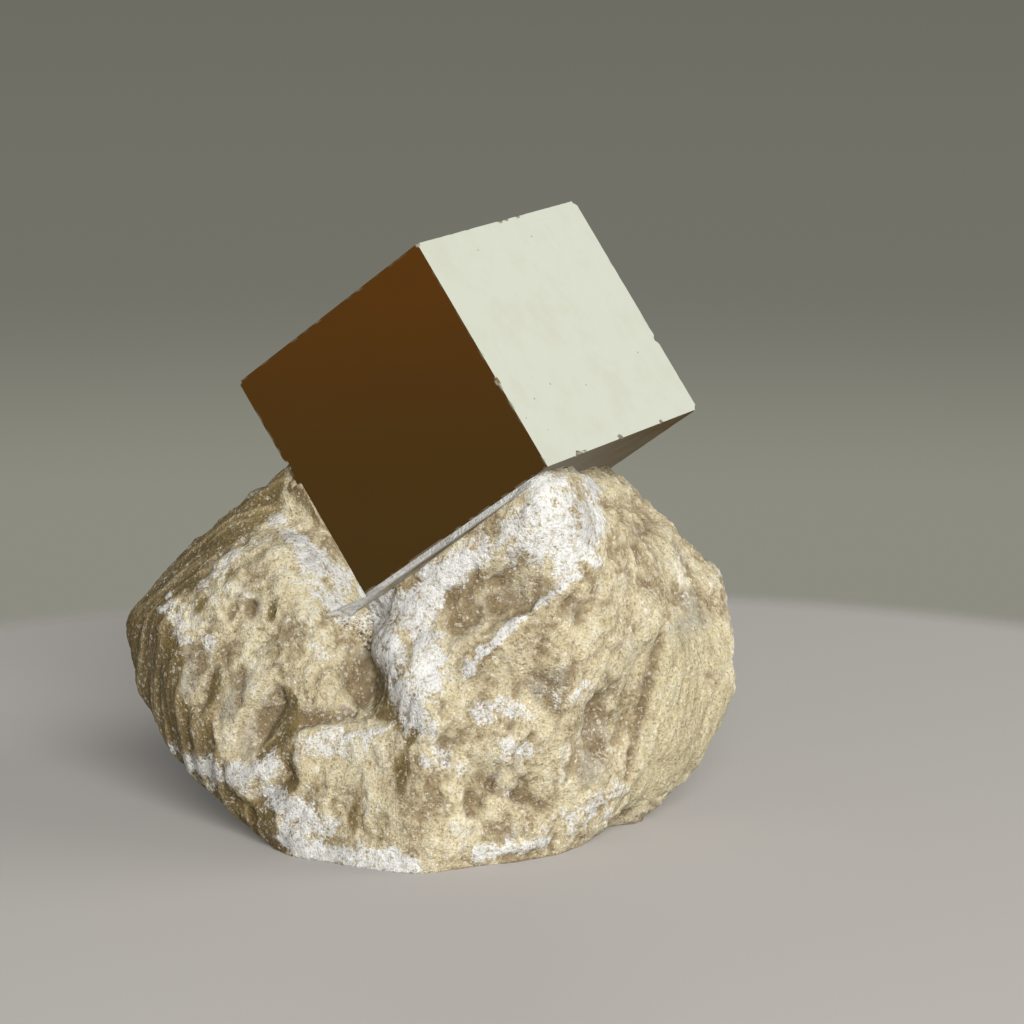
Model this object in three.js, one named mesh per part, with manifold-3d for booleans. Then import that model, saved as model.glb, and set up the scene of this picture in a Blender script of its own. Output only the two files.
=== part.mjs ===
// Pyrite specimen: one nearly cubic metallic crystal set corner-down in a broken lump of pale rock.
// Millimetres, +Z up, the rock rests on its flat underside, x runs across the front, y runs to the back.
import * as THREE from "three";
import { ConvexHull } from "three/addons/math/ConvexHull.js";
import { ImprovedNoise } from "three/addons/math/ImprovedNoise.js";
import { mergeVertices } from "three/addons/utils/BufferGeometryUtils.js";
import Module from "manifold-3d";

// Crystal edges, and how the crystal leans: rolled to the left, lifted a little at the back
// and turned to the right.
const CRYSTAL_ACROSS = 19.8;
const CRYSTAL_ALONG = 20.4;
const CRYSTAL_TALL = 18.0;
const CRYSTAL_ROLL = -34.5;
const CRYSTAL_LIFT = 3.5;
const CRYSTAL_TURN = -33.3;
const CRYSTAL_CENTRE = [-3.1, 0, 30.25];

// Socket in the rock: a hairline gap all round, open toward the front, with a lip left on one side.
const SOCKET_GAP = 0.3;
const SOCKET_OPENING = 30;
const SOCKET_LIP = 0.9;

// Corners of the broken faces of the rock, as x, y, z.
const CROWN_CORNERS = [
  [-16.5, -2, 25],
  [-16, 8, 24.5],
  [-9, 17, 23],
  [5, 15, 21],
  [7, 3, 24.3],
  [2.3, -15.9, 27.3],
];
const LEFT_END_CORNERS = [
  [-17.3, -4.2, 22.8],
  [-20.2, -5.8, 20],
  [-22.4, 1, 20.8],
  [-25, -7, 15.8],
  [-28.9, -1, 13.6],
  [-28.9, -0.8, 12.6],
  [-24.6, -8, 13.4],
  [-24.8, -8.4, 10.4],
  [-27.8, -3, 8.8],
  [-26, 8, 12],
  [-24.8, -6, 4.7],
];
const RIGHT_END_CORNERS = [
  [10.4, 3, 20.4],
  [15, 3, 17.4],
  [16.2, 0.5, 14.5],
  [16.3, -3, 8.6],
  [15, -4, 5.6],
  [11.6, -4, 1.6],
  [13.5, 10, 13],
  [12, 11, 5],
];
const FRONT_CORNERS = [
  [-14.8, -8.8, 15],
  [-5.8, -16.2, 13],
  [-6.3, -19.2, 6.8],
  [3.3, -17.6, 12],
  [10, -11.4, 14.5],
  [8.4, -12.4, 7.8],
];
const BACK_CORNERS = [
  [-21, 13, 17],
  [-22, 11, 5],
  [-9, 18.5, 15],
  [3, 18, 13],
  [-6, 17.5, 4],
];
const FOOT_CORNERS = [
  [-20.8, -7.4, 2.8],
  [-16.4, -12.6, 0.2],
  [-13, -18, -2.4],
  [-8.2, -20.2, -2.4],
  [0.6, -16.6, -2.4],
  [4.4, -10.4, -2],
  [7.6, -5.4, -2],
  [9.2, 6, -2.4],
  [2, 13, -2.4],
  [-10, 13, -2.4],
  [-18.6, 6, -2.4],
];

// Skin of the rock: middle point that the surface is measured from, sharpness of the broken edges,
// and the lumps of the break.
const ROCK_MIDDLE = [-6, -1, 12];
const ROCK_DETAIL = 22;
const EDGE_SHARPNESS = 90;
const LUMPS = [
  { spacing: 7.5, rise: 0.7 },
  { spacing: 3.6, rise: 0.6 },
  { spacing: 1.9, rise: 0.4 },
];
const LUMP_STRETCH = 0.55;
const LUMP_LEAN = 20;

// The faces that look to the left broke smooth: their share of the lumps, and how far left a face looks.
const SMOOTH_BREAK_SHARE = 0.35;
const SMOOTH_BREAK_START = 0.45;
const SMOOTH_BREAK_END = 0.6;

// Pits, grooves, ridges and ledges of the front, from and to as x, z, with half width and rise.
const FRONT_FEATURES = [
  { name: "deep pit", from: [-10.9, 12.9], to: [-10.8, 11.4], width: 1.2, rise: -1.4 },
  { name: "slanting groove", from: [-18.9, 7], to: [-16.9, 10.2], width: 1, rise: -1.6 },
  { name: "shelf left of the crystal", from: [-13.8, 19.6], to: [-10.8, 17.6], width: 1.9, rise: -2 },
  { name: "notch beside the crystal", from: [-16, 23.2], to: [-14, 20.8], width: 1, rise: -1.1 },
  { name: "gritty valley", from: [-10, 17], to: [-11.6, 15], width: 1.8, rise: -1.5 },
  { name: "sunken side of the bulge", from: [-11.6, 15], to: [-11, 11.4], width: 2.1, rise: -1.6 },
  { name: "brown hollow", from: [-2.6, 17.9], to: [0.2, 19.4], width: 1.9, rise: -1.3 },
  { name: "lower vein", from: [-2.9, 14], to: [0.8, 17.4], width: 0.9, rise: 0.8 },
  { name: "upper vein", from: [0.8, 17.4], to: [5.5, 19.9], width: 0.9, rise: 0.7 },
  { name: "grey bulge", from: [-8.6, 14.7], to: [-5.5, 11], width: 1.9, rise: 1.2 },
  { name: "crust ledge", from: [-14.5, 8.4], to: [-8.7, 9], width: 1.1, rise: 0.6 },
  { name: "corner lump", from: [-15, 6.9], to: [-14.6, 5.9], width: 1.1, rise: 0.8 },
  { name: "corner crease", from: [-15.5, 6.1], to: [-18, 3.4], width: 0.8, rise: -0.7 },
  { name: "dark recess", from: [6.5, 10.4], to: [6.3, 8.8], width: 1.4, rise: -1 },
  { name: "curved groove", from: [-2, 6.5], to: [1.5, 4.4], width: 1, rise: -0.8 },
  { name: "middle pit", from: [-4.6, 8.6], to: [-4.4, 8], width: 1.1, rise: -0.7 },
  { name: "low pit", from: [-2.8, 4.9], to: [-2.6, 4.2], width: 1, rise: -0.7 },
  { name: "slab shadow groove", from: [9.6, 13.4], to: [8, 7], width: 0.8, rise: -0.9 },
  { name: "edge notch", from: [13.6, 18.2], to: [14.2, 17.6], width: 0.8, rise: -0.8 },
];

// Smooth slab that covers the right end: the line of its broken edge as x, z, and its thickness.
const SLAB_TOP = [10.6, 14];
const SLAB_FOOT = [8.2, 1.2];
const SLAB_THICKNESS = 0.5;

// Front features fade out where the surface turns away from the front.
const FRONT_FADE_START = 0.05;
const FRONT_FADE_END = 0.35;

// Cutter that leaves the flat underside, and the tolerances that join corners and clear slivers.
const GROUND_REACH = 120;
const CORNER_TOLERANCE = 1e-5;
const SLIVER_TOLERANCE = 0.02;

const CRYSTAL_LOOK = { color: 0xc9b988, roughness: 0.12, metalness: 1 };
const ROCK_LOOK = { color: 0xbfae82, roughness: 0.85, metalness: 0 };

const wasm = await Module();
wasm.setup();

const radians = THREE.MathUtils.degToRad;

function solidOf(geometry) {
  const bare = geometry.clone();
  bare.deleteAttribute("normal");
  bare.deleteAttribute("uv");
  const merged = mergeVertices(bare, CORNER_TOLERANCE);
  return new wasm.Manifold(
    new wasm.Mesh({
      numProp: 3,
      vertProperties: new Float32Array(merged.attributes.position.array),
      triVerts: new Uint32Array(merged.index.array),
    })
  );
}

function geometryOf(solid) {
  const mesh = solid.getMesh();
  const geometry = new THREE.BufferGeometry();
  geometry.setAttribute("position", new THREE.BufferAttribute(new Float32Array(mesh.vertProperties), 3));
  geometry.setIndex(new THREE.BufferAttribute(new Uint32Array(mesh.triVerts), 1));
  return geometry;
}

function largestPiece(solid) {
  return solid.decompose().reduce((kept, piece) => (piece.volume() > kept.volume() ? piece : kept));
}

// A box in the crystal's own directions, grown by a margin and shifted, then set in the crystal's pose.
function boxInCrystalPose(size, shift) {
  const pose = new THREE.Matrix4().makeRotationFromEuler(
    new THREE.Euler(radians(CRYSTAL_LIFT), radians(CRYSTAL_ROLL), radians(CRYSTAL_TURN), "ZXY")
  );
  pose.setPosition(...CRYSTAL_CENTRE);
  const box = new THREE.BoxGeometry(...size);
  box.translate(...shift);
  return box.applyMatrix4(pose);
}

// Planes of the broken faces, each as a direction and its distance from the middle of the rock.
function brokenFaces(corners, middle) {
  const hull = new ConvexHull().setFromPoints(corners.map((corner) => new THREE.Vector3(...corner)));
  return hull.faces.map((face) => ({
    normal: face.normal,
    distance: face.constant - face.normal.dot(middle),
  }));
}

// The broken surface in one direction: its distance from the middle and the way it faces,
// with edges a little worn.
function brokenSurface(direction, faces) {
  const facing = new THREE.Vector3();
  let sum = 0;
  faces.forEach((face) => {
    const share = Math.max(0, face.normal.dot(direction) / face.distance) ** EDGE_SHARPNESS;
    sum += share;
    facing.addScaledVector(face.normal, share);
  });
  return { radius: sum ** (-1 / EDGE_SHARPNESS), facing: facing.divideScalar(sum).normalize() };
}

// Lumps drawn out along a steep slant across the front.
function lumpRise(point, noise) {
  const lean = radians(LUMP_LEAN);
  const along = point.x * Math.sin(lean) + point.z * Math.cos(lean);
  const across = point.x * Math.cos(lean) - point.z * Math.sin(lean);
  return LUMPS.reduce((total, { spacing, rise }) => {
    const wave = noise.noise(across / spacing, point.y / spacing, (along * LUMP_STRETCH) / spacing);
    return total + rise * wave;
  }, 0);
}

// Rise of one front feature: full on the line between its ends, fading over its width.
function featureRise(point, feature) {
  const from = new THREE.Vector2(...feature.from);
  const run = new THREE.Vector2(...feature.to).sub(from);
  const offset = new THREE.Vector2(point.x, point.z).sub(from);
  const along = THREE.MathUtils.clamp(offset.dot(run) / run.lengthSq(), 0, 1);
  const reach = offset.addScaledVector(run, -along).length() / feature.width;
  return feature.rise * Math.exp(-reach * reach);
}

// Rise of the slab on the right end: a step at its broken edge.
function slabRise(point) {
  const [topX, topZ] = SLAB_TOP;
  const [footX, footZ] = SLAB_FOOT;
  const edgeX = footX + ((topX - footX) * (point.z - footZ)) / (topZ - footZ);
  const beyond = THREE.MathUtils.smoothstep(point.x - edgeX, -SLAB_THICKNESS, SLAB_THICKNESS);
  const below = THREE.MathUtils.smoothstep(topZ - point.z, -SLAB_THICKNESS, SLAB_THICKNESS);
  return SLAB_THICKNESS * beyond * below;
}

function rockGeometry() {
  const noise = new ImprovedNoise();
  const middle = new THREE.Vector3(...ROCK_MIDDLE);
  const corners = [
    ...CROWN_CORNERS,
    ...LEFT_END_CORNERS,
    ...RIGHT_END_CORNERS,
    ...FRONT_CORNERS,
    ...BACK_CORNERS,
    ...FOOT_CORNERS,
  ];
  const faces = brokenFaces(corners, middle);
  const geometry = new THREE.IcosahedronGeometry(1, ROCK_DETAIL);
  const positions = geometry.attributes.position;
  const direction = new THREE.Vector3();
  const point = new THREE.Vector3();
  for (let i = 0; i < positions.count; i += 1) {
    direction.fromBufferAttribute(positions, i).normalize();
    const { radius, facing } = brokenSurface(direction, faces);
    point.copy(middle).addScaledVector(direction, radius);
    const smooth = THREE.MathUtils.smoothstep(-facing.x, SMOOTH_BREAK_START, SMOOTH_BREAK_END);
    const lumps = lumpRise(point, noise) * THREE.MathUtils.lerp(1, SMOOTH_BREAK_SHARE, smooth);
    const front = THREE.MathUtils.smoothstep(-direction.y, FRONT_FADE_START, FRONT_FADE_END);
    const carved = FRONT_FEATURES.reduce((total, feature) => total + featureRise(point, feature), 0);
    point.addScaledVector(direction, lumps + front * (carved + slabRise(point)));
    positions.setXYZ(i, point.x, point.y, point.z);
  }
  return geometry;
}

// The rock with its flat underside, the socket that the crystal fills and the open side in front of it.
function matrixSolid() {
  const gap = 2 * SOCKET_GAP;
  const socket = solidOf(
    boxInCrystalPose([CRYSTAL_ACROSS + gap, CRYSTAL_ALONG + gap, CRYSTAL_TALL + gap], [0, 0, 0])
  );
  const opening = solidOf(
    boxInCrystalPose(
      [CRYSTAL_ACROSS + gap - SOCKET_LIP, SOCKET_OPENING, CRYSTAL_TALL + gap],
      [SOCKET_LIP / 2, -(CRYSTAL_ALONG + SOCKET_OPENING) / 2, 0]
    )
  );
  const ground = new THREE.BoxGeometry(GROUND_REACH, GROUND_REACH, GROUND_REACH);
  ground.translate(0, 0, -GROUND_REACH / 2);
  const cut = solidOf(rockGeometry()).subtract(socket).subtract(opening).subtract(solidOf(ground));
  return largestPiece(cut.simplify(SLIVER_TOLERANCE));
}

function named(name, geometry, look) {
  const mesh = new THREE.Mesh(geometry, new THREE.MeshStandardMaterial(look));
  mesh.name = name;
  return mesh;
}

const crystal = boxInCrystalPose([CRYSTAL_ACROSS, CRYSTAL_ALONG, CRYSTAL_TALL], [0, 0, 0]);
const specimen = new THREE.Group();
specimen.name = "pyrite_specimen";
specimen.add(named("pyrite_crystal", crystal, CRYSTAL_LOOK));
specimen.add(named("rock_matrix", geometryOf(matrixSolid()), ROCK_LOOK));

// The middle of the footprint sits at the origin.
const extent = new THREE.Box3().setFromObject(specimen);
const middle = extent.getCenter(new THREE.Vector3());
specimen.children.forEach((mesh) => mesh.geometry.translate(-middle.x, -middle.y, -extent.min.z));

export default specimen;
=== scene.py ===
import math

import bmesh
import bpy
import numpy as np
from mathutils import Matrix, Vector, noise


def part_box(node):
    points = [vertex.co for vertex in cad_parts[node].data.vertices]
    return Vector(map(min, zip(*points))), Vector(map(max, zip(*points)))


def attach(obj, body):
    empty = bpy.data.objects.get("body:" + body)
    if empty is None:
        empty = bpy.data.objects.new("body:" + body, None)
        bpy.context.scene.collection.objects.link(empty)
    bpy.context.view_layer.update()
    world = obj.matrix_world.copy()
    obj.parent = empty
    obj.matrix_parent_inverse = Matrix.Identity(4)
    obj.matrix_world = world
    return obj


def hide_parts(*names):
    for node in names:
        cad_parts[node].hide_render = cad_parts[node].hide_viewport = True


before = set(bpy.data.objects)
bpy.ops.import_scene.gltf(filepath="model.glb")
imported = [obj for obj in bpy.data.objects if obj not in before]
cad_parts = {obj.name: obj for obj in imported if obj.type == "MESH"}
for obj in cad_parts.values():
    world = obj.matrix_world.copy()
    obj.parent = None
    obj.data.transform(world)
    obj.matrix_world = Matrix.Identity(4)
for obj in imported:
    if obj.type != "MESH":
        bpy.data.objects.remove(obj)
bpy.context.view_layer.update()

MM = 0.001

# Camera: a long lens a little above the specimen, looking slightly down at it.
# Its place is given from the middle of the crystal.
CAMERA_FROM_CRYSTAL = Vector((3.1, -246.2, 39.2)) * MM
CAMERA_LOOKS_DOWN = math.radians(11.0)
CAMERA_LENS = 120.0
CAMERA_SENSOR = 36.0

crystal_low, crystal_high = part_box("pyrite_crystal")
crystal_centre = (crystal_low + crystal_high) / 2

camera_data = bpy.data.cameras.new("camera")
camera_data.lens = CAMERA_LENS
camera_data.sensor_width = CAMERA_SENSOR
camera_data.clip_start = 0.01
camera = bpy.data.objects.new("camera", camera_data)
camera.location = crystal_centre + CAMERA_FROM_CRYSTAL
camera.rotation_euler = (math.pi / 2 - CAMERA_LOOKS_DOWN, 0, 0)
bpy.context.scene.collection.objects.link(camera)
bpy.context.scene.camera = camera

# Pyrite crystal: one natural, nearly cubic crystal of iron sulphide with mirror-bright faces.
# It grew in the rock, so its edges are sharp, with small chips and hairlines where it was freed.
CRYSTAL_SIZE = np.array((19.8, 20.4, 18.0))
CRYSTAL_ROLL = math.radians(-34.5)
CRYSTAL_LIFT = math.radians(3.5)
CRYSTAL_TURN = math.radians(-33.3)
CRYSTAL_CUTS = 111
EDGE_CROWDING = 0.68
EDGE_WEAR = 0.03
EDGE_WEAR_REACH = 0.1
EDGE_WEAR_SPACING = 0.7
CHIP_RAGGEDNESS = 0.6
FACE_SKIN = 0.01
# Chips on the edges, from the middle of the crystal in its own directions, with reach and depth.
EDGE_CHIPS = [
    ((9.9, 0.3, 9.0), 0.26, 0.16),
    ((9.9, 1.0, 9.0), 0.15, 0.10),
    ((9.9, 2.5, 9.0), 0.17, 0.11),
    ((9.9, 10.2, 9.0), 0.38, 0.16),
    ((9.9, -10.2, 9.0), 0.22, 0.08),
    ((9.9, -10.2, -2.1), 0.22, 0.13),
    ((9.9, -6.2, -9.0), 0.30, 0.16),
    ((9.9, -5.4, -9.0), 0.19, 0.10),
    ((9.9, -0.5, -9.0), 0.26, 0.14),
    ((9.9, 5.1, -9.0), 0.20, 0.11),
    ((9.9, 10.2, -9.0), 0.26, 0.13),
    ((-9.9, -10.2, 1.9), 0.30, 0.16),
    ((-9.9, -10.2, 9.0), 0.22, 0.11),
    ((-9.9, 3.0, 9.0), 0.34, 0.18),
    ((-9.9, 10.2, 8.6), 0.38, 0.19),
    ((9.9, 10.2, -3.0), 0.26, 0.13),
    ((1.5, 10.2, 9.0), 0.30, 0.16),
]
# Shallow hairline steps under the top edge of the bright face, with reach and depth.
FACE_HAIRLINES = [
    (0.12, 0.03, [(9.9, 0.6, 8.1), (9.9, 3.4, 8.35), (9.9, 6.4, 8.0), (9.9, 8.8, 8.3)]),
    (0.1, 0.025, [(9.9, 1.6, 7.6), (9.9, 4.2, 7.7), (9.9, 6.0, 7.4)]),
    (0.1, 0.02, [(9.9, 4.8, 8.6), (9.9, 7.6, 8.55)]),
    (0.1, 0.015, [(9.9, -1.2, 3.6), (9.9, -0.6, 2.2)]),
]

crystal_pose = (
    Matrix.Translation(crystal_centre)
    @ Matrix.Rotation(CRYSTAL_TURN, 4, "Z")
    @ Matrix.Rotation(CRYSTAL_LIFT, 4, "X")
    @ Matrix.Rotation(CRYSTAL_ROLL, 4, "Y")
)


def add_node(tree, kind, inputs=None, **settings):
    node = tree.nodes.new(kind)
    for name, value in settings.items():
        setattr(node, name, value)
    for key, value in (inputs or {}).items():
        if isinstance(value, bpy.types.NodeSocket):
            tree.links.new(value, node.inputs[key])
        else:
            node.inputs[key].default_value = value
    return node


def add_ramp(tree, factor, stops, interpolation="EASE"):
    ramp = add_node(tree, "ShaderNodeValToRGB", {"Fac": factor})
    ramp.color_ramp.interpolation = interpolation
    elements = ramp.color_ramp.elements
    while len(elements) < len(stops):
        elements.new(0.5)
    for element, (place, colour) in zip(elements, stops):
        element.position = place
        element.color = (*colour, 1)
    return ramp.outputs["Color"]


def add_mix(tree, factor, first, second, blend="MIX"):
    mix = add_node(
        tree, "ShaderNodeMix", {"Factor": factor}, data_type="RGBA", blend_type=blend
    )
    for key, value in ((6, first), (7, second)):
        if isinstance(value, bpy.types.NodeSocket):
            tree.links.new(value, mix.inputs[key])
        else:
            mix.inputs[key].default_value = (*value, 1)
    return mix.outputs[2]


def add_math(tree, operation, first, second=0.0):
    return add_node(tree, "ShaderNodeMath", {0: first, 1: second}, operation=operation).outputs["Value"]


def add_range(tree, value, low, high, to_low=0.0, to_high=1.0):
    return add_node(
        tree,
        "ShaderNodeMapRange",
        {"Value": value, "From Min": low, "From Max": high, "To Min": to_low, "To Max": to_high},
        interpolation_type="SMOOTHSTEP",
    ).outputs["Result"]


def add_noise(tree, vector, scale, detail=4.0, roughness=0.5):
    inputs = {"Vector": vector, "Scale": scale, "Detail": detail, "Roughness": roughness}
    return add_node(tree, "ShaderNodeTexNoise", inputs).outputs["Fac"]


def new_material(name):
    material = bpy.data.materials.new(name)
    material.use_nodes = True
    tree = material.node_tree
    tree.nodes.clear()
    surface = add_node(tree, "ShaderNodeBsdfPrincipled")
    add_node(tree, "ShaderNodeOutputMaterial", {"Surface": surface.outputs["BSDF"]})
    return material, tree, surface


def line_strength(places, reach, line):
    strength = np.zeros(len(places))
    line = np.array(line)
    for start, end in zip(line, line[1:]):
        run = end - start
        share = np.clip((places - start) @ run / (run @ run), 0, 1)
        distance = np.linalg.norm(places - start - share[:, None] * run, axis=1)
        strength = np.maximum(strength, np.exp(-((distance / reach) ** 2)))
    return strength


def finish_piece(mesh, name, material, node_name):
    data = bpy.data.meshes.new(name)
    mesh.to_mesh(data)
    mesh.free()
    piece = bpy.data.objects.new(name, data)
    bpy.context.scene.collection.objects.link(piece)
    data.materials.append(material)
    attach(piece, "root")
    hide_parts(node_name)
    return piece


crystal = bmesh.new()
bmesh.ops.create_cube(crystal, size=1)
bmesh.ops.subdivide_edges(crystal, edges=crystal.edges, cuts=CRYSTAL_CUTS, use_grid_fill=True)
unit = np.array([vert.co for vert in crystal.verts]) * 2
unit = (1 - EDGE_CROWDING) * unit + EDGE_CROWDING * np.sin(unit * math.pi / 2)
crystal_places = unit * CRYSTAL_SIZE / 2
edge_depth = np.sort(CRYSTAL_SIZE / 2 - np.abs(crystal_places), axis=1)
edge_distance = np.hypot(edge_depth[:, 0], edge_depth[:, 1])
inward = -np.sign(crystal_places) * (CRYSTAL_SIZE / 2 - np.abs(crystal_places) < EDGE_WEAR_REACH)
moved = np.zeros_like(crystal_places)
for index in np.flatnonzero(edge_distance < EDGE_WEAR_REACH):
    wear = noise.noise(Vector(crystal_places[index] / EDGE_WEAR_SPACING))
    moved[index] += inward[index] * EDGE_WEAR * max(0, wear)
for chip, reach, depth in EDGE_CHIPS:
    towards_middle = -np.sign(chip) * (np.abs(np.abs(chip) - CRYSTAL_SIZE / 2) < EDGE_WEAR_REACH)
    distance = np.linalg.norm(crystal_places - chip, axis=1)
    for index in np.flatnonzero(distance < 2 * reach):
        ragged = 1 + CHIP_RAGGEDNESS * noise.noise(Vector(crystal_places[index] * 6))
        bite = depth * max(0, 1 - (distance[index] / (reach * ragged)) ** 2)
        moved[index] += towards_middle * bite
on_bright_face = crystal_places[:, 0] > CRYSTAL_SIZE[0] / 2 - FACE_SKIN
for reach, depth, line in FACE_HAIRLINES:
    moved[:, 0] -= depth * line_strength(crystal_places, reach, line) * on_bright_face
crystal_place = crystal.verts.layers.float_vector.new("crystal_place")
for vert, place, shift in zip(crystal.verts, crystal_places, moved):
    vert[crystal_place] = Vector(place)
    vert.co = Vector(place + shift) * MM
bmesh.ops.transform(crystal, matrix=crystal_pose, verts=crystal.verts)

PYRITE_COLOUR = (0.74, 0.68, 0.5)
TARNISH_COLOUR = (0.715, 0.65, 0.465)
PIT_COLOUR = (0.3, 0.25, 0.15)
pyrite, tree, surface = new_material("pyrite")
place = add_node(tree, "ShaderNodeAttribute", attribute_name="crystal_place").outputs["Vector"]
haze = add_noise(tree, place, 0.3, 5.0, 0.6)
fine = add_noise(tree, place, 3.0, 6.0)
growth_map = add_node(tree, "ShaderNodeMapping", {"Vector": place, "Scale": (2.2, 0.25, 2.2)})
growth = add_noise(tree, growth_map.outputs["Vector"], 1.6, 3.0)
pit_cells = add_node(tree, "ShaderNodeTexVoronoi", {"Vector": place, "Scale": 0.5})
pit_size = add_node(tree, "ShaderNodeSeparateColor", {"Color": pit_cells.outputs["Color"]}).outputs["Red"]
pit_reach = add_range(tree, pit_size, 0.6, 1.0, 0.0, 0.04)
pit_share = add_math(tree, "LESS_THAN", pit_cells.outputs["Distance"], pit_reach)
tarnish = add_mix(tree, add_range(tree, haze, 0.42, 0.7), PYRITE_COLOUR, TARNISH_COLOUR)
colour = add_mix(tree, add_math(tree, "MULTIPLY", pit_share, 0.7), tarnish, PIT_COLOUR)
tree.links.new(colour, surface.inputs["Base Color"])
surface.inputs["Metallic"].default_value = 1.0
tree.links.new(add_range(tree, haze, 0.3, 0.7, 0.05, 0.1), surface.inputs["Roughness"])
growth_relief = add_math(tree, "MULTIPLY", growth, 0.6)
relief = add_math(tree, "ADD", growth_relief, add_math(tree, "MULTIPLY", fine, 0.25))
relief = add_math(tree, "SUBTRACT", relief, add_math(tree, "MULTIPLY", pit_share, 0.5))
bump = add_node(tree, "ShaderNodeBump", {"Height": relief, "Strength": 0.05, "Distance": 0.02 * MM})
tree.links.new(bump.outputs["Normal"], surface.inputs["Normal"])
finish_piece(crystal, "pyrite_crystal_faces", pyrite, "pyrite_crystal")

# Rock matrix: one broken lump of pale marl that the crystal grew in, granular and crumbly,
# with white crust along the breaks, brown stain and painted shade in the hollows, left faces painted dark as
# shade, and a smooth waxy slab on the right.
FRONT_EDGE = 0.27
BACK_EDGE = 0.5
HIDDEN_EDGE = 2.5
SMOOTHED_CUTS = 3
WALL_LEFT = -9.3
WALL_BELOW = -9.3
FRONT_FACING = 0.0
SOCKET_REACH = 0.5
SOCKET_TOUCH = 0.01
GRAIN_LEAN = math.radians(20)
GRAIN_STRETCH = 0.5
LEFT_LOWER_EDGE = [(-9.2, -2.9, 23.4), (-4.65, -5.51, 16.61)]
RIGHT_LOWER_EDGE = [(-4.65, -5.51, 16.61), (8.64, -15.05, 27.82), (10.9, -11.6, 28.1)]
STRATA_ALONG = np.array((0.766, -0.211, 0.607))
STRATA_ACROSS = np.array((0.114, 0.970, 0.193))
COARSE_HEIGHT = 0.3
CHUNK_HEIGHT = 0.42
GRAIN_HEIGHT = 0.26
GRIT_HEIGHT = 0.36
GRIT_COARSE_HEIGHT = 0.12
LEDGE_HEIGHT = 0.22
RIPPLE_HEIGHT = 0.14
CRUST_HEIGHT = 0.12
HOLLOW_GRIT_HEIGHT = 0.3
HOLLOW_COARSE_HEIGHT = 0.14
HOLLOW_DEPTH = 0.5
RIM_SLOPE = 0.22

# Places of the crust, the stains and the smooth parts, where stains and left breaks also carry painted shade,
# each as a reach and a line, in millimetres.
WHITE_POWDER = [
    (
        1.4,
        [(0.5, -14.4, 19.9), (3.3, -14.8, 21.5), (6.4, -15.4, 23.5), (9.1, -15.2, 25.2), (11.8, -7.7, 25.4)],
    ),
    (1.7, [(6.7, -15.6, 22.2), (9.5, -15.1, 23.4), (11.8, -11.2, 24.4)]),
    (1.2, [(8.2, -15.4, 26.4), (9.9, -13.8, 27.0), (11.0, -11.8, 27.3)]),
    (1.3, [(9.8, -15.0, 21.3), (11.2, -14.2, 22.5), (12.2, -11.1, 23.7)]),
    (1.1, [(-1.1, -14.0, 17.8), (0.5, -14.6, 19.4), (2.2, -14.7, 20.1)]),
    (2.0, [(-2.8, -10.7, 16.2), (-2.2, -15.0, 14.9), (-1.6, -16.4, 12.4), (-0.2, -18.1, 10.7)]),
    (1.7, [(-0.9, -14.2, 17.2), (0.1, -15.4, 15.7), (0.2, -17.2, 13.3)]),
    (1.0, [(-3.1, -11.1, 17.6), (0.5, -14.8, 18.4)]),
    (1.3, [(-7.9, -7.6, 19.7), (-6.1, -6.5, 18.6), (-4.2, -10.4, 17.9)]),
    (1.0, [(-7.6, -9.3, 17.9), (-6.4, -8.7, 17.1), (-5.6, -10.4, 16.6)]),
    (1.1, [(-10.9, -4.0, 22.3), (-9.7, -5.8, 21.5), (-8.6, -7.3, 20.5), (-7.4, -6.8, 19.9)]),
    (1.2, [(-9.4, -14.9, 1.3), (-7.3, -15.8, 0.7), (-4.4, -17.6, 0.5), (-1.2, -18.8, 0.5)]),
    (1.3, [(-11.0, -13.2, 4.0), (-9.4, -14.6, 3.4), (-6.9, -15.8, 2.3)]),
    (1.2, [(-17.0, -7.6, 4.9), (-15.0, -10.1, 4.9), (-12.7, -12.4, 5.4), (-10.7, -13.3, 6.0)]),
    (0.7, [(3.8, -17.4, 0.9), (6.0, -16.8, 1.1), (8.5, -15.5, 1.3)]),
]
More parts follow.
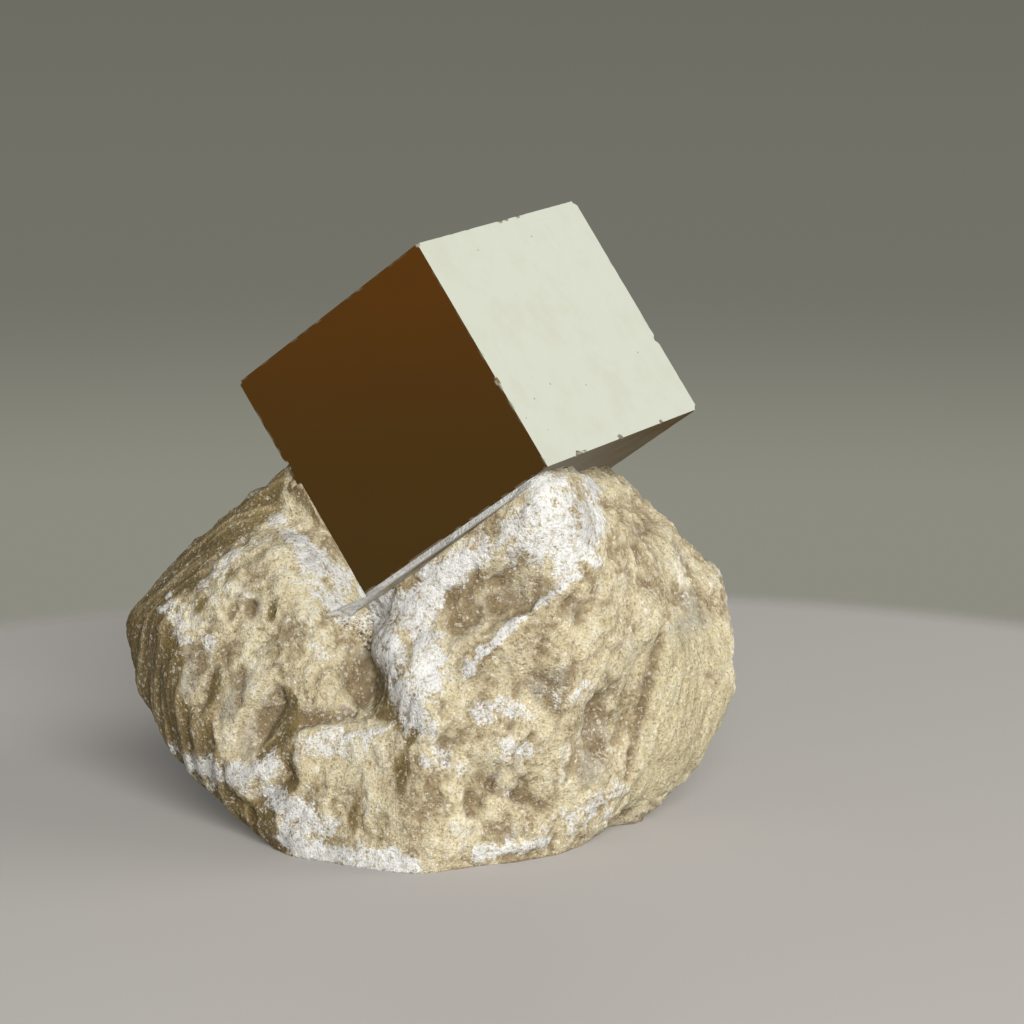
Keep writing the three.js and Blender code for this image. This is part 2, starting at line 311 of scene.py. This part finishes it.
WHITE_CRUMBS = [
    (1.0, [(-18.8, -4.7, 16.2), (-17.9, -6.7, 15.3), (-17.3, -7.5, 14.3)]),
    (0.9, [(-14.2, -6.0, 19.3), (-13.0, -6.0, 20.3), (-11.8, -5.6, 21.3)]),
    (0.9, [(-17.6, -6.6, 16.2), (-15.8, -6.6, 17.6), (-14.2, -6.3, 19.2)]),
    (0.9, [(-8.4, -14.5, 8.2), (-6.5, -14.7, 8.7), (-4.4, -15.6, 8.7), (-2.4, -16.1, 9.6)]),
    (0.8, [(-7.9, -14.8, 7.8), (-5.1, -15.4, 7.5)]),
    (1.0, [(-16.3, -8.0, 3.6), (-13.5, -11.9, 4.3), (-11.4, -13.1, 5.2)]),
    (0.9, [(-8.8, -14.7, 7.2), (-8.6, -14.9, 5.8)]),
    (0.9, [(8.7, -15.4, 2.2), (10.6, -13.9, 2.9), (12.4, -13.0, 3.6)]),
    (1.1, [(11.7, -13.6, 3.7), (13.5, -12.3, 4.1), (14.0, -11.3, 3.1)]),
    (0.9, [(10.3, -14.1, 2.0), (13.1, -11.7, 2.1)]),
    (1.1, [(3.3, -17.2, 10.8), (5.3, -16.6, 11.4), (7.1, -16.6, 10.7)]),
    (1.0, [(5.3, -17.2, 8.7), (7.4, -16.5, 7.8)]),
    (1.0, [(0.2, -17.9, 8.2), (2.6, -17.2, 6.8)]),
    (0.8, [(-15.7, -8.6, 14.2), (-15.5, -8.6, 14.0)]),
    (0.8, [(-11.7, -11.3, 11.3), (-11.5, -11.3, 10.9)]),
    (0.8, [(-18.9, -5.0, 5.4), (-18.0, -6.2, 5.2)]),
    (0.8, [(-7.4, -11.7, 14.2), (-7.2, -11.7, 13.8)]),
    (0.9, [(9.5, -16.2, 11.6), (11.2, -15.0, 12.0)]),
]
WHITE_VEIN = [
    (0.5, [(3.2, -17.6, 14.1), (4.0, -17.3, 15.1), (5.7, -16.6, 16.6), (6.9, -16.5, 17.7)]),
    (0.42, [(7.8, -15.7, 18.2), (9.5, -15.6, 19.4), (12.1, -13.7, 20.9)]),
]
# Brown stain in the hollows, with painted shade where the slab edge, the vein, the lip and the bulge cast
# shadow.
BROWN_STAIN_AND_SHADE = [
    (1.1, [(1.5, -15.0, 18.4), (3.3, -15.3, 19.6), (5.7, -15.1, 19.9)]),
    (1.1, [(2.2, -15.6, 16.8), (4.0, -15.2, 17.8), (6.4, -14.9, 18.4)]),
    (0.9, [(-4.6, -10.9, 13.2), (-4.8, -11.7, 12.0), (-4.4, -12.5, 10.7)]),
    (0.75, [(-12.7, -11.3, 6.9), (-11.8, -11.1, 8.3), (-11.0, -11.0, 9.4)]),
    (0.9, [(12.0, -12.9, 10.4), (12.7, -12.4, 8.9), (12.4, -13.5, 6.6)]),
    (0.55, [(16.9, -9.4, 14.3), (16.3, -9.7, 12.9), (15.8, -9.9, 11.1)]),
    (0.35, [(15.6, -10.0, 10.1), (14.9, -10.5, 7.3), (14.4, -11.1, 4.5)]),
    (0.6, [(10.2, -15.5, 18.2), (10.9, -14.9, 17.1)]),
    (0.4, [(-13.7, -8.5, 16.4), (-13.9, -8.5, 15.9)]),
    (0.4, [(-12.3, -8.6, 16.7), (-12.5, -8.7, 16.2)]),
    (0.45, [(6.1, -16.8, 10.6), (6.0, -16.9, 10.0)]),
    (0.45, [(1.5, -17.5, 8.6), (1.7, -17.7, 7.7)]),
    (0.5, [(3.3, -17.1, 4.9), (3.3, -17.4, 3.9)]),
    (0.4, [(13.3, -11.9, 9.4), (13.2, -11.8, 8.5)]),
    (0.4, [(4.0, -16.7, 6.2), (5.3, -16.8, 5.2), (7.4, -15.8, 4.4), (8.5, -15.7, 3.7)]),
    (0.25, [(7.6, -16.6, 9.2), (6.7, -16.9, 8.1), (6.0, -16.9, 6.8)]),
    (0.4, [(-9.4, -14.1, 5.9), (-10.5, -13.5, 4.7), (-11.8, -12.7, 3.5)]),
    (0.6, [(-8.7, -13.6, 9.5), (-6.6, -13.8, 9.9), (-5.2, -13.5, 10.1)]),
    (0.6, [(-13.5, -11.3, 3.1), (-12.4, -12.1, 2.2)]),
]
GREY_PATCHES = [
    (0.8, [(-16.8, -8.2, 13.3), (-16.4, -8.7, 11.9), (-17.2, -8.5, 10.4)]),
    (0.8, [(-13.1, -10.6, 11.7), (-13.4, -10.9, 10.3), (-14.0, -10.9, 9.2)]),
    (1.3, [(11.6, -13.0, 9.4), (12.4, -12.9, 7.9), (11.6, -13.9, 6.0)]),
    (1.0, [(8.1, -16.2, 12.3), (9.5, -16.2, 13.1)]),
    (1.3, [(19.1, -3.0, 15.8), (19.9, -3.1, 14.3), (18.2, -7.3, 14.2)]),
]
COARSE_GRIT = [
    (1.1, [(-7.0, -10.1, 16.6), (-5.6, -10.5, 15.7), (-4.0, -10.3, 14.5)]),
    (0.8, [(-6.7, -11.1, 15.1), (-5.3, -10.7, 14.2)]),
    (0.9, [(-2.0, -12.8, 18.7), (-3.1, -10.7, 17.1), (-3.7, -9.9, 15.5)]),
]
WAXY_SLAB = [
    (1.7, [(17.3, -9.3, 13.2), (19.0, -6.3, 12.8), (21.2, -2.6, 12.3)]),
    (1.8, [(17.3, -9.2, 10.0), (19.0, -7.0, 9.3), (21.5, -4.0, 8.2)]),
    (1.8, [(16.6, -9.3, 6.8), (17.5, -8.7, 6.8), (20.2, -5.0, 5.8)]),
    (1.6, [(15.6, -9.3, 3.4), (16.5, -8.3, 3.7), (18.4, -6.1, 3.5)]),
]
# Smooth breaks at the left end; with the faces turned left they are coloured dark olive as painted shade.
SMOOTH_BREAK_AND_SHADE = [
    (2.2, [(-21.4, -2.4, 12.7), (-20.1, -4.4, 11.7), (-20.4, -3.7, 8.5)]),
    (2.0, [(-22.0, -1.4, 13.0), (-21.0, -3.1, 9.8), (-19.6, -4.5, 7.2)]),
    (2.2, [(-20.3, -2.0, 15.6), (-17.3, -1.9, 18.5), (-14.3, -2.8, 21.0), (-12.0, -1.9, 23.4)]),
]


def crystal_gap(places):
    inverse = np.array(crystal_pose.inverted())
    local = places @ inverse[:3, :3].T + inverse[:3, 3] / MM
    outside = np.maximum(np.abs(local) - CRYSTAL_SIZE / 2, 0) * np.sign(local)
    return np.linalg.norm(outside, axis=1), outside @ np.array(crystal_pose)[:3, :3].T, local


def places_of(mesh):
    return np.array([vert.co for vert in mesh.verts]) / MM


def long_edges(mesh):
    mesh.verts.index_update()
    mesh.edges.ensure_lookup_table()
    places = places_of(mesh)
    facing = np.array([vert.normal.y for vert in mesh.verts])
    ends = np.array([[vert.index for vert in edge.verts] for edge in mesh.edges])
    middles = places[ends].mean(axis=1)
    lengths = np.linalg.norm(places[ends[:, 0]] - places[ends[:, 1]], axis=1)
    limits = np.where(facing[ends].mean(axis=1) < FRONT_FACING, FRONT_EDGE, BACK_EDGE)
    hidden = (middles[:, 2] < 0.1) | (crystal_gap(middles)[0] < SOCKET_REACH)
    limits[hidden] = HIDDEN_EDGE
    return [mesh.edges[index] for index in np.flatnonzero(lengths > limits)]


def stroke_mask(places, strokes):
    return np.max([line_strength(places, reach, line) for reach, line in strokes], axis=0)


def ease(values, low, high):
    share = np.clip((values - low) / (high - low), 0, 1)
    return share * share * (3 - 2 * share)


def fractal(places, octaves):
    return np.array([noise.fractal(Vector(place), 0.9, 2.1, octaves) for place in places])


def lumps(places):
    return np.array([0.5 - noise.voronoi(Vector(place))[0][0] for place in places])


rock = bmesh.new()
rock.from_mesh(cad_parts["rock_matrix"].data)
bmesh.ops.remove_doubles(rock, verts=rock.verts, dist=0.002 * MM)
for cut in range(9):
    rock.normal_update()
    split = long_edges(rock)
    if not split:
        break
    bmesh.ops.subdivide_edges(rock, edges=split, cuts=1)
    bmesh.ops.triangulate(rock, faces=[face for face in rock.faces if len(face.verts) > 3])
    if cut < SMOOTHED_CUTS:
        places = places_of(rock)
        gap, _, beside = crystal_gap(places)
        cut_walls = (np.abs(beside[:, 0] - WALL_LEFT) < 0.05) | (np.abs(beside[:, 2] - WALL_BELOW) < 0.05)
        loose = (gap > SOCKET_REACH) & (places[:, 2] > 0.1) & ~cut_walls
        loose_verts = [vert for vert, free in zip(rock.verts, loose) if free]
        bmesh.ops.smooth_vert(
            rock, verts=loose_verts, factor=0.5, use_axis_x=True, use_axis_y=True, use_axis_z=True
        )
rock.normal_update()

# In front of the crystal the rock breaks off close to the two lower edges of its dark face.
places = places_of(rock)
beside = crystal_gap(places)[2]
stands_out = np.maximum(0, -CRYSTAL_SIZE[1] / 2 - 0.35 - beside[:, 1])
broken_off = ease(line_strength(places, 4.2, LEFT_LOWER_EDGE), 0.1, 0.75) * ease(-beside[:, 0], 8.5, 9.2)
places += np.outer(stands_out * 0.88 * broken_off, np.array(crystal_pose)[:3, 1])
for vert, place in zip(rock.verts, places):
    vert.co = Vector(place) * MM
rock.normal_update()

normals = np.array([vert.normal for vert in rock.verts])
gap, away, crystal_side = crystal_gap(places)
front = ease(-normals[:, 1], -0.1, 0.35)
patches = fractal(places / 6.5, 3)
blots = fractal(places / 2.4, 5)
crumbling = fractal(places / 0.9 + 13.0, 3)
powder = np.maximum(stroke_mask(places, WHITE_POWDER), (1 - front) * ease(patches, 0.1, 0.55))
powder = ease(1.2 * powder + 0.5 * blots + 0.3 * crumbling, 0.2, 1.15) * ease(powder, 0.05, 0.4)
crumbs = stroke_mask(places, WHITE_CRUMBS)
crumbs = 0.75 * ease(crumbs + 0.35 * blots + 0.7 * crumbling, 0.3, 1.2) * ease(crumbs, 0.05, 0.5)
vein = stroke_mask(places, WHITE_VEIN)
vein = ease(vein + 0.5 * crumbling + 0.2 * blots, 0.25, 0.75)
white = np.maximum(np.maximum(powder, crumbs), vein)
brown_and_shade = np.maximum(stroke_mask(places, BROWN_STAIN_AND_SHADE), (1 - front) * ease(-patches, 0.15, 0.6))
grey = stroke_mask(places, GREY_PATCHES)
beside_wall = np.abs(crystal_side[:, 0] - WALL_LEFT) < 0.5
beside_wall |= np.abs(crystal_side[:, 2] - WALL_BELOW) < 0.3
beside_wall &= crystal_side[:, 1] < -CRYSTAL_SIZE[1] / 2
grit = stroke_mask(places, COARSE_GRIT) * ~beside_wall
waxy = ease(stroke_mask(places, WAXY_SLAB), 0.25, 0.55)
# Faces turned to the left are marked too, so they get the painted shade of the breaks.
strata_and_shade = np.maximum(stroke_mask(places, SMOOTH_BREAK_AND_SHADE), ease(-normals[:, 0], 0.45, 0.7))
strata_and_shade = ease(strata_and_shade, 0.3, 0.6)
rim = ease(line_strength(places, 0.9, RIGHT_LOWER_EDGE), 0.25, 0.5)

lean_along = places[:, 0] * math.sin(GRAIN_LEAN) + places[:, 2] * math.cos(GRAIN_LEAN)
lean_across = places[:, 0] * math.cos(GRAIN_LEAN) - places[:, 2] * math.sin(GRAIN_LEAN)
slant = np.stack([lean_across, places[:, 1], lean_along * GRAIN_STRETCH], axis=1)
warp = np.stack([fractal(places / 1.7 + offset, 2) for offset in (0.0, 31.0, 67.0)], axis=1)
warped = slant + 0.5 * warp
coarse = fractal(warped / 2.1, 4)
chunks = lumps(warped / 1.15)
grains = lumps((places + 0.3 * warp) / 0.62)
gravel = lumps((places + 0.2 * warp) / 0.42)
layers = np.stack([places @ STRATA_ALONG / 7, places @ STRATA_ACROSS / 0.7, places[:, 0] * 0], axis=1)
ledges = fractal(layers + 0.15 * warp, 3)
drawn = np.stack([lean_across / 0.7, places[:, 1] / 0.7, lean_along / 4], axis=1)
ripples = fractal(drawn + 0.2 * warp, 3)

calm = np.clip(0.85 * waxy + 0.9 * strata_and_shade + 0.95 * rim + 0.45 * white, 0, 0.95)
grain_height = (1 - calm) * (COARSE_HEIGHT * coarse + CHUNK_HEIGHT * chunks + GRAIN_HEIGHT * grains)
grain_height += grit * (GRIT_HEIGHT * gravel + GRIT_COARSE_HEIGHT * coarse)
grain_height += LEDGE_HEIGHT * strata_and_shade * ledges + RIPPLE_HEIGHT * waxy * ripples
hollow_grit = HOLLOW_GRIT_HEIGHT * gravel + HOLLOW_COARSE_HEIGHT * coarse
grain_height += CRUST_HEIGHT * white + brown_and_shade * (1 - rim) * hollow_grit
sunk = HOLLOW_DEPTH * brown_and_shade * (1 - rim)
settled = np.clip((gap - SOCKET_REACH) / 0.7, 0, 1) * np.clip(places[:, 2] / 0.5, 0, 1)
settled *= np.where(beside_wall, 0.2, 1)
moved = places + normals * ((grain_height - sunk) * settled)[:, None]
in_socket = (gap < SOCKET_REACH) & (crystal_side[:, 1] > -CRYSTAL_SIZE[1] / 2)
pull = np.where(in_socket & (gap > SOCKET_TOUCH), 1 - SOCKET_TOUCH / np.maximum(gap, SOCKET_TOUCH), 0)
moved -= away * pull[:, None]

# The rim slopes off below the right edge of the dark face.
beside = crystal_gap(moved)[2]
stands_out = -CRYSTAL_SIZE[1] / 2 - beside[:, 1]
above_rim = np.maximum(0, beside[:, 2] - WALL_BELOW + 0.1 + RIM_SLOPE * stands_out)
above_rim *= (stands_out > 0.05) & (beside[:, 2] < WALL_BELOW + 1.5)
above_rim *= ease(beside[:, 0], WALL_LEFT, WALL_LEFT + 1.3)
moved -= np.outer(above_rim, np.array(crystal_pose)[:3, 2])

marks = {
    "white_crust": np.maximum(white, 0.9 * rim),
    "brown_stain_and_shade": brown_and_shade,
    "grey_patch": grey,
    "coarse_grit": grit,
    "waxy_slab": waxy,
    "smooth_break_and_shade": strata_and_shade,
    "smooth_rim": rim,
    "grain_height": grain_height,
}
layer_of = {name: rock.verts.layers.float.new(name) for name in marks}
for index, vert in enumerate(rock.verts):
    vert.co = Vector(moved[index]) * MM
    for name, values in marks.items():
        vert[layer_of[name]] = values[index]
for face in rock.faces:
    face.smooth = True
rock.normal_update()

TAN_DEEP = (0.36, 0.295, 0.18)
TAN = (0.55, 0.475, 0.31)
TAN_YELLOW = (0.62, 0.55, 0.36)
TAN_PALE = (0.74, 0.705, 0.58)
CRUST_WHITE = (0.75, 0.75, 0.725)
CRUST_GREY = (0.55, 0.545, 0.53)
RIM_WHITE_PAINTED_LIGHT = (0.88, 0.88, 0.85)
STAIN_AND_SHADE_BROWN = (0.22, 0.16, 0.085)
RECESS_GREY = (0.33, 0.31, 0.25)
# Olive colours of the breaks, darkened as painted shade.
BREAK_OLIVE_SHADE = (0.15, 0.105, 0.032)
BREAK_PALE_SHADE = (0.34, 0.26, 0.125)
SLAB_YELLOW = (0.6, 0.53, 0.32)
SPECK_DARK = (0.1, 0.085, 0.06)
PAINTED_GLINT_PALE = (0.86, 0.82, 0.7)
marl, tree, surface = new_material("marl")
coords = add_node(tree, "ShaderNodeTexCoord").outputs["Object"]
place = add_node(tree, "ShaderNodeMapping", {"Vector": coords, "Scale": (1000, 1000, 1000)}).outputs["Vector"]
mark = {
    name: add_node(tree, "ShaderNodeAttribute", attribute_name=name).outputs["Fac"] for name in marks
}
broad = add_noise(tree, place, 0.3, 4.0)
mottle = add_noise(tree, place, 1.7, 8.0, 0.72)
grain = add_noise(tree, place, 5.5, 5.0, 0.7)
scatter = add_node(tree, "ShaderNodeTexNoise", {"Vector": place, "Scale": 6.0}).outputs["Color"]
strewn = add_mix(tree, 0.3, place, scatter)
cells = add_node(tree, "ShaderNodeTexVoronoi", {"Vector": strewn, "Scale": 7.5})
cell_tone = add_node(tree, "ShaderNodeSeparateColor", {"Color": cells.outputs["Color"]}).outputs["Red"]
broad_half = add_math(tree, "MULTIPLY", broad, 0.5)
tone = add_math(tree, "ADD", broad_half, add_math(tree, "MULTIPLY", mottle, 0.5))
colour = add_ramp(tree, tone, [(0.4, TAN_DEEP), (0.47, TAN), (0.54, TAN_YELLOW), (0.62, TAN_PALE)])
mottle_part = add_math(tree, "MULTIPLY", mottle, 1.5)
ragged = add_math(tree, "ADD", mottle_part, add_math(tree, "MULTIPLY", grain, 1.2))
ragged = add_math(tree, "SUBTRACT", ragged, 1.35)
grey_share = add_range(tree, add_math(tree, "ADD", mark["grey_patch"], ragged), 0.35, 0.75, 0.0, 0.75)
colour = add_mix(tree, grey_share, colour, RECESS_GREY)
colour = add_mix(tree, add_math(tree, "MULTIPLY", mark["waxy_slab"], 0.6), colour, SLAB_YELLOW)
rough_edge = add_math(tree, "MULTIPLY", ragged, 2.2)
# Brown stain and painted shade, with ragged edges.
brown_and_shade_share = add_range(tree, add_math(tree, "ADD", mark["brown_stain_and_shade"], rough_edge), 0.15, 0.95, 0.0, 0.9)
colour = add_mix(tree, brown_and_shade_share, colour, STAIN_AND_SHADE_BROWN)
# Painted shade: the low places of the grain relief are darkened to brown.
painted_hollow_shade = add_range(tree, mark["grain_height"], -0.25, 0.04, 0.75, 0.0)
colour = add_mix(tree, painted_hollow_shade, colour, STAIN_AND_SHADE_BROWN)
# Painted highlight: the high places of the grain relief are lightened to pale tan.
painted_crest_light = add_range(tree, mark["grain_height"], 0.06, 0.3, 0.0, 0.4)
colour = add_mix(tree, painted_crest_light, colour, TAN_PALE)
# Painted shade: the smooth breaks and the faces turned left are coloured dark olive, darkest in the low
# places of the ledges.
break_shade_colour = add_mix(tree, add_range(tree, mark["grain_height"], -0.02, 0.14), BREAK_OLIVE_SHADE, BREAK_PALE_SHADE)
colour = add_mix(tree, add_math(tree, "MULTIPLY", mark["smooth_break_and_shade"], 0.9), colour, break_shade_colour)
pitted = add_range(tree, mottle, 0.42, 0.33, 0.0, 0.6)
colour = add_mix(tree, pitted, colour, STAIN_AND_SHADE_BROWN)
# Painted glints: scattered small cells are lightened to near white.
painted_glints = add_range(tree, cell_tone, 0.86, 0.95, 0.0, 0.4)
colour = add_mix(tree, painted_glints, colour, PAINTED_GLINT_PALE)
# The coarse grit ranges from dark specks to painted glints.
grit_tone = add_ramp(tree, cell_tone, [(0.05, SPECK_DARK), (0.3, TAN_DEEP), (0.55, TAN), (0.9, PAINTED_GLINT_PALE)])
colour = add_mix(tree, add_range(tree, mark["coarse_grit"], 0.3, 0.7, 0.0, 0.85), colour, grit_tone)
white_share = add_range(tree, add_math(tree, "ADD", mark["white_crust"], rough_edge), 0.3, 1.0)
crust = add_mix(tree, add_range(tree, tone, 0.4, 0.54), CRUST_GREY, CRUST_WHITE)
speck_tone = add_math(tree, "ADD", cell_tone, add_math(tree, "MULTIPLY", mottle, 0.3))
speckled = add_math(tree, "LESS_THAN", speck_tone, 0.24)
crust = add_mix(tree, add_math(tree, "MULTIPLY", speckled, 0.22), crust, SPECK_DARK)
colour = add_mix(tree, white_share, colour, crust)
# The rim below the crystal is white crust; it is coloured whiter than the crust as painted light, since it
# lies in shade.
colour = add_mix(tree, add_math(tree, "MULTIPLY", mark["smooth_rim"], 0.85), colour, RIM_WHITE_PAINTED_LIGHT)
# Fine grain tone, darker where the bump relief is low and lighter where it is high: the grain's own tone with
# painted shade and highlight.
grain_tone_and_light = add_ramp(tree, grain, [(0.34, (0.55, 0.52, 0.47)), (0.5, (1, 1, 1)), (0.66, (1.28, 1.27, 1.24))])
grain_light_share = add_range(tree, white_share, 0.2, 0.9, 1.0, 0.45)
colour = add_mix(tree, grain_light_share, colour, grain_tone_and_light, "MULTIPLY")
tree.links.new(colour, surface.inputs["Base Color"])
dull = add_range(tree, grain, 0.3, 0.7, 0.55, 0.9)
shiny = add_node(
    tree, "ShaderNodeMix", {"Factor": mark["waxy_slab"], "A": dull, "B": 0.2}, data_type="FLOAT"
).outputs[0]
tree.links.new(shiny, surface.inputs["Roughness"])
relief = add_math(tree, "ADD", grain, add_math(tree, "MULTIPLY", cells.outputs["Distance"], -0.6))
bump = add_node(tree, "ShaderNodeBump", {"Height": relief, "Strength": 0.9, "Distance": 0.2 * MM})
tree.links.new(bump.outputs["Normal"], surface.inputs["Normal"])
rock_piece = finish_piece(rock, "marl_rock", marl, "rock_matrix")
# The crystal's mirror faces show the studio, not the rock below them.
rock_piece.visible_glossy = False

# Floor: a plain pale round surface under the specimen.
# Its edge fades out, and it is not mirrored in the crystal.
FLOOR_RADIUS = 0.09
FLOOR_EDGE = 0.082
FLOOR_CENTRE = Vector((0.006, -0.0145, 0))
floor_mesh = bmesh.new()
bmesh.ops.create_circle(
    floor_mesh, cap_ends=True, radius=FLOOR_RADIUS, segments=96, matrix=Matrix.Translation(FLOOR_CENTRE)
)
floor_data = bpy.data.meshes.new("floor")
floor_mesh.to_mesh(floor_data)
floor_mesh.free()
floor = bpy.data.objects.new("floor", floor_data)
bpy.context.scene.collection.objects.link(floor)
pale, tree, surface = new_material("pale_floor")
surface.inputs["Base Color"].default_value = (0.43, 0.41, 0.39, 1)
surface.inputs["Roughness"].default_value = 0.35
coords = add_node(tree, "ShaderNodeTexCoord").outputs["Object"]
radius = add_node(
    tree, "ShaderNodeVectorMath", {0: coords, 1: FLOOR_CENTRE}, operation="DISTANCE"
).outputs["Value"]
fade = add_node(
    tree,
    "ShaderNodeMapRange",
    {"Value": radius, "From Min": FLOOR_EDGE, "From Max": FLOOR_RADIUS, "To Min": 1.0, "To Max": 0.0},
    interpolation_type="SMOOTHSTEP",
).outputs["Result"]
clear = add_node(tree, "ShaderNodeBsdfTransparent")
both = add_node(tree, "ShaderNodeMixShader", {0: fade, 1: clear.outputs["BSDF"], 2: surface.outputs["BSDF"]})
tree.links.new(both.outputs["Shader"], tree.nodes["Material Output"].inputs["Surface"])
floor_data.materials.append(pale)
floor.visible_glossy = False


# Studio light: a soft light from the right, a stronger one from the front, and a plain surround.
# The surround is grey behind the specimen, and in the mirror faces a graded wall with one soft panel.
def add_soft_light(name, direction, distance, width, power, colour):
    light_data = bpy.data.lights.new(name, "AREA")
    light_data.shape = "DISK"
    light_data.size = width
    light_data.energy = power
    light_data.color = colour
    light = bpy.data.objects.new(name, light_data)
    towards = Vector(direction).normalized()
    light.location = crystal_centre + towards * distance
    light.rotation_euler = towards.to_track_quat("Z", "Y").to_euler()
    light.visible_glossy = False
    light.visible_camera = False
    bpy.context.scene.collection.objects.link(light)


add_soft_light("key_right", (0.86, 0.0, 0.5), 0.5, 0.3, 1.15, (1.0, 0.98, 0.95))
add_soft_light("fill_front", (0.22, -0.9, 0.38), 0.6, 0.4, 5.6, (1.0, 0.98, 0.96))

SOFTBOX_DIRECTION = (0.780, 0.417, 0.466)
world = bpy.data.worlds.new("studio")
bpy.context.scene.world = world
world.use_nodes = True
tree = world.node_tree
tree.nodes.clear()
direction = add_node(tree, "ShaderNodeTexCoord").outputs["Generated"]
rays = add_node(tree, "ShaderNodeLightPath")
rise = add_node(tree, "ShaderNodeSeparateXYZ", {0: direction}).outputs["Z"]
rise_share = add_math(tree, "MULTIPLY_ADD", rise, 0.5)
rise_share.node.inputs[2].default_value = 0.5
backdrop = add_ramp(
    tree,
    rise_share,
    [(0.405, (0.265, 0.265, 0.22)), (0.44, (0.168, 0.168, 0.139)), (0.5, (0.146, 0.146, 0.12))],
)
toward_softbox = add_node(
    tree, "ShaderNodeVectorMath", {0: direction, 1: SOFTBOX_DIRECTION}, operation="DOT_PRODUCT"
).outputs["Value"]
softbox = add_ramp(tree, toward_softbox, [(0.78, (0, 0, 0)), (0.9, (1, 1, 1))])
wall = add_ramp(
    tree,
    rise_share,
    [
        (0.30, (0.30, 0.29, 0.27)),
        (0.335, (0.075, 0.05, 0.018)),
        (0.36, (0.09, 0.05, 0.016)),
        (0.40, (0.14, 0.055, 0.011)),
        (0.46, (0.15, 0.13, 0.1)),
        (0.75, (0.5, 0.5, 0.48)),
    ],
)
mirrored = add_mix(tree, softbox, wall, (0.96, 1.07, 1.2))
ambient = add_mix(tree, rays.outputs["Is Glossy Ray"], (0.17, 0.17, 0.165), mirrored)
seen = add_mix(tree, rays.outputs["Is Camera Ray"], ambient, backdrop)
background = add_node(tree, "ShaderNodeBackground", {"Color": seen, "Strength": 1.0})
add_node(tree, "ShaderNodeOutputWorld", {"Surface": background.outputs["Background"]})

bpy.context.scene.view_settings.view_transform = "Standard"
